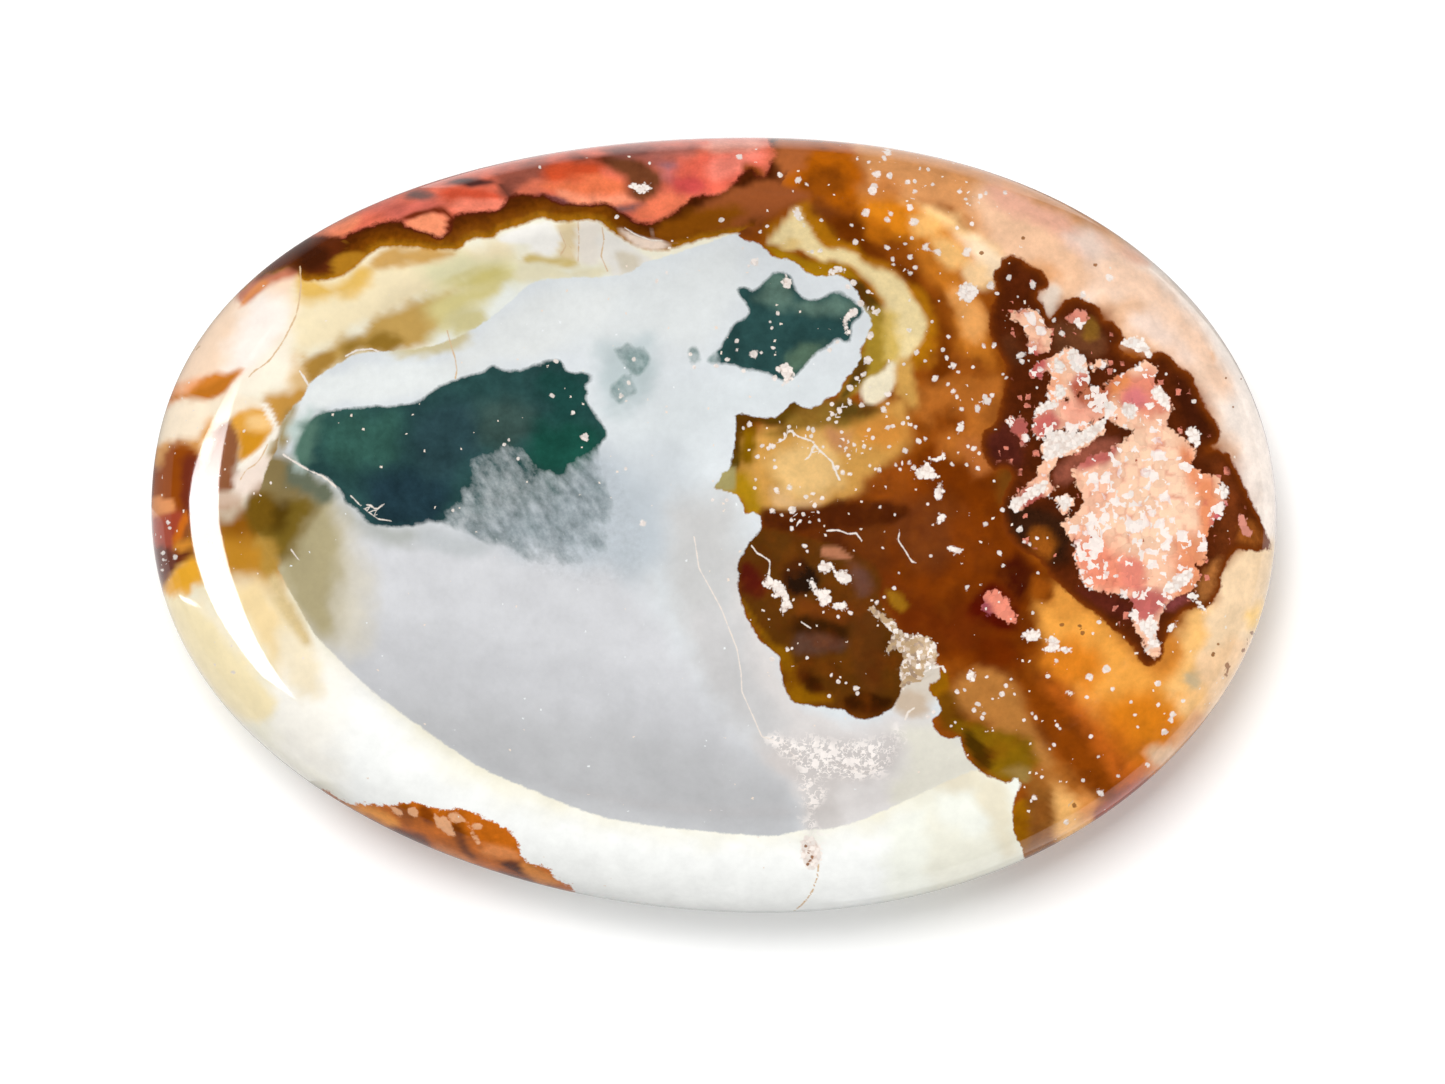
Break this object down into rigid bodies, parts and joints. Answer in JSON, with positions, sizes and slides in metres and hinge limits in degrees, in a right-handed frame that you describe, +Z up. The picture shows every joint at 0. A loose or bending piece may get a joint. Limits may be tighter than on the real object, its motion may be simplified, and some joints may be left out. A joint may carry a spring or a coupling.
{
  "type": "stone bowl",
  "caption": "Shallow oval bowl, cut and polished from one piece of polychrome jasper, with a broad rounded rim, a smooth hollow and a flat foot.",
  "frame": {"origin": "under the middle of the bowl, on the flat face of its foot", "axes": "+X along the length, towards the broader end; +Y across the width, to the side that both ends bend to; +Z up, out of the hollow"},
  "size_m": [0.15, 0.1038, 0.026],
  "materials": {
    "stone": "polished"
  },
  "bodies": {
    "root": {"bowl": "stone"}
  },
  "joints": []
}
